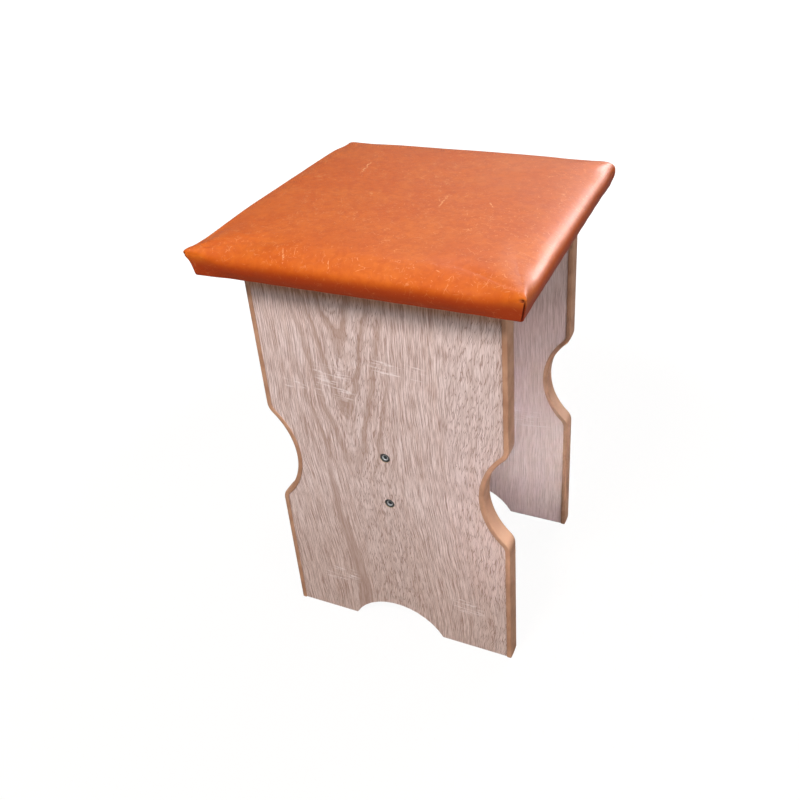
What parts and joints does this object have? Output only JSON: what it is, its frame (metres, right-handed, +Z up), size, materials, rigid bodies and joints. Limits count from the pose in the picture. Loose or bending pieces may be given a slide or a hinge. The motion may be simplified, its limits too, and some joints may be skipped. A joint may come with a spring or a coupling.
{
  "type": "upholstered dining stool",
  "caption": "Low square dining stool: a thin padded leatherette seat on two upright oak-laminate panels with notched sides, arched feet and brown edging, joined by a stretcher.",
  "frame": {"origin": "on the floor under the middle of the seat", "axes": "+Z up, the front panel faces -Y, +X to the right as seen from the front"},
  "size_m": [0.3, 0.3, 0.4564],
  "materials": {
    "oak_laminate": "matt laminated chipboard with a pale oak grain",
    "brown_edging": "satin flexible plastic",
    "dark_steel": "dark oiled steel",
    "zinc_steel": "bright zinc plating",
    "bare_chipboard": "bare chipboard",
    "seat_foam": "soft foam sheet",
    "orange_leatherette": "glossy mottled leatherette"
  },
  "bodies": {
    "root": {"front_panel": "oak_laminate", "rear_panel": "oak_laminate", "stretcher": "oak_laminate", "front_left_edging": "brown_edging", "front_right_edging": "brown_edging", "rear_left_edging": "brown_edging", "rear_right_edging": "brown_edging", "front_upper_panel_screw": "dark_steel", "front_lower_panel_screw": "dark_steel", "rear_upper_panel_screw": "dark_steel", "rear_lower_panel_screw": "dark_steel", "front_left_bracket": "zinc_steel", "front_left_bracket_panel_screw_1": "zinc_steel", "front_left_bracket_panel_screw_2": "zinc_steel", "front_left_bracket_seat_screw_1": "zinc_steel", "front_left_bracket_seat_screw_2": "zinc_steel", "front_right_bracket": "zinc_steel", "front_right_bracket_panel_screw_1": "zinc_steel", "front_right_bracket_panel_screw_2": "zinc_steel", "front_right_bracket_seat_screw_1": "zinc_steel", "front_right_bracket_seat_screw_2": "zinc_steel", "rear_left_bracket": "zinc_steel", "rear_left_bracket_panel_screw_1": "zinc_steel", "rear_left_bracket_panel_screw_2": "zinc_steel", "rear_left_bracket_seat_screw_1": "zinc_steel", "rear_left_bracket_seat_screw_2": "zinc_steel", "rear_right_bracket": "zinc_steel", "rear_right_bracket_panel_screw_1": "zinc_steel", "rear_right_bracket_panel_screw_2": "zinc_steel", "rear_right_bracket_seat_screw_1": "zinc_steel", "rear_right_bracket_seat_screw_2": "zinc_steel", "seat_board": "bare_chipboard", "seat_foam": "seat_foam", "seat_cover": "orange_leatherette"}
  },
  "joints": []
}
